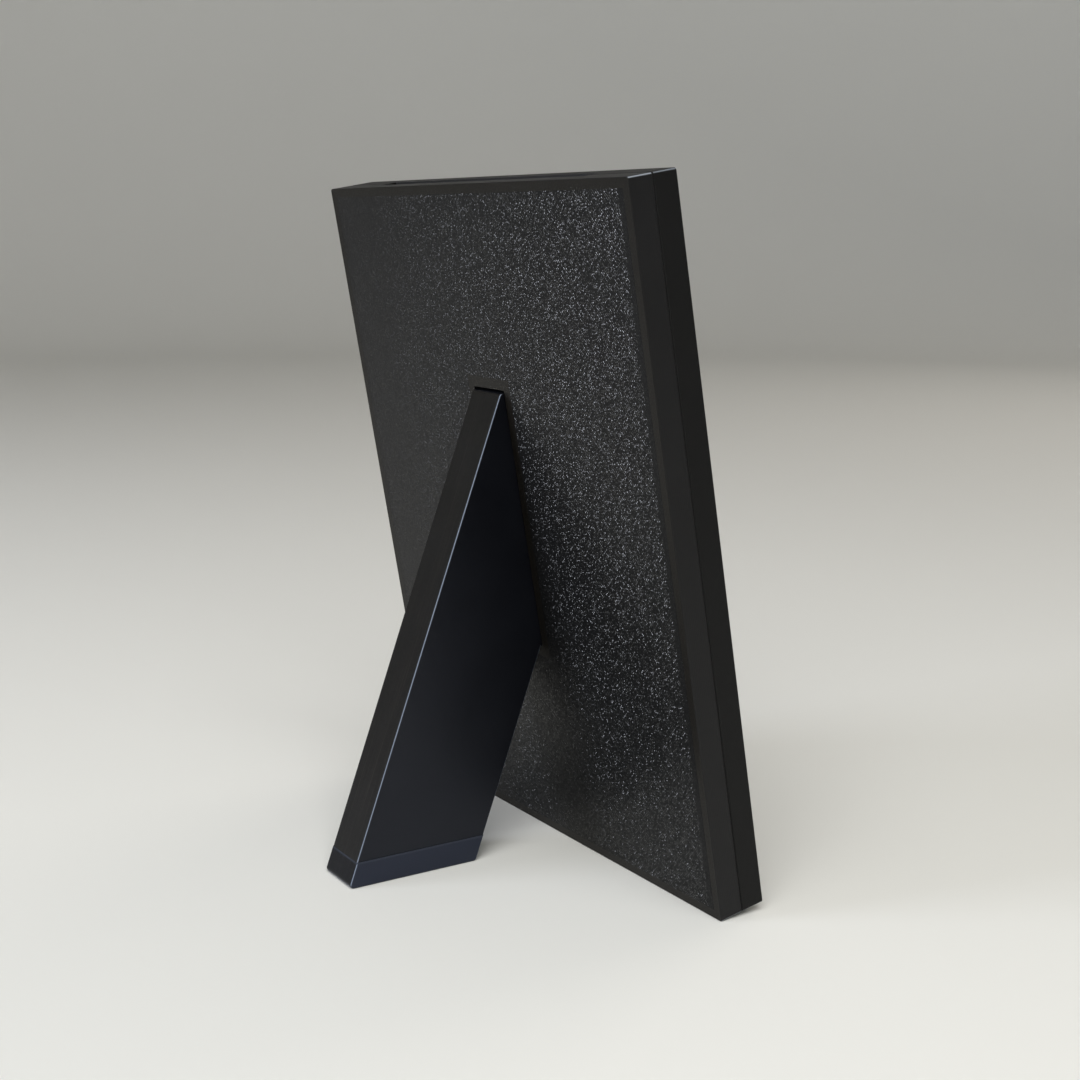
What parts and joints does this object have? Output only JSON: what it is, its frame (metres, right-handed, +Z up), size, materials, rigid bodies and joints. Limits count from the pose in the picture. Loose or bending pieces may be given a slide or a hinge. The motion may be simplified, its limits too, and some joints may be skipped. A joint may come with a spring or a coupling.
{
  "type": "easel back photo frame",
  "caption": "Small upright photo frame of two printed halves, with a slot in the top edge for the picture and one slanted leg plugged into its back.",
  "frame": {"origin": "on the table, in the middle of the space that the standing frame takes", "axes": "+Z up, +Y towards the back (the leg's side), -Y the side that shows the picture, X across"},
  "size_m": [0.114, 0.0629, 0.1396],
  "materials": {
    "printed_shell": "matte black, printed in layers, outer faces with a fine sparkling plate grain",
    "printed_leg": "matte black, smooth printed walls",
    "soft_foot": "satin soft black",
    "clear_acrylic": "clear, polished",
    "photo_paper": "satin photo paper",
    "grey_card": "uncoated grey board",
    "nickel_plate": "bright nickel plate"
  },
  "bodies": {
    "back": {"back_shell": "printed_shell", "back_magnet_1": "nickel_plate", "back_magnet_2": "nickel_plate", "back_magnet_3": "nickel_plate", "back_magnet_4": "nickel_plate"},
    "bezel": {"front_bezel": "printed_shell", "bezel_magnet_1": "nickel_plate", "bezel_magnet_2": "nickel_plate", "bezel_magnet_3": "nickel_plate", "bezel_magnet_4": "nickel_plate"},
    "leg": {"easel_leg": "printed_leg", "leg_foot": "soft_foot"},
    "insert": {"backing_card": "grey_card", "photo_print": "photo_paper", "glazing_sheet": "clear_acrylic"}
  },
  "joints": [
    {"name": "bezel_lift", "type": "slide", "parent": "back", "child": "bezel", "axis": [0, -0.9848, 0.1736], "range_m": [0, 0.03]},
    {"name": "leg_pull", "type": "slide", "parent": "back", "child": "leg", "axis": [0, 0.9848, -0.1736], "range_m": [0, 0.025]},
    {"name": "insert_draw", "type": "slide", "parent": "back", "child": "insert", "axis": [0, 0.1736, 0.9848], "range_m": [0, 0.124]}
  ]
}
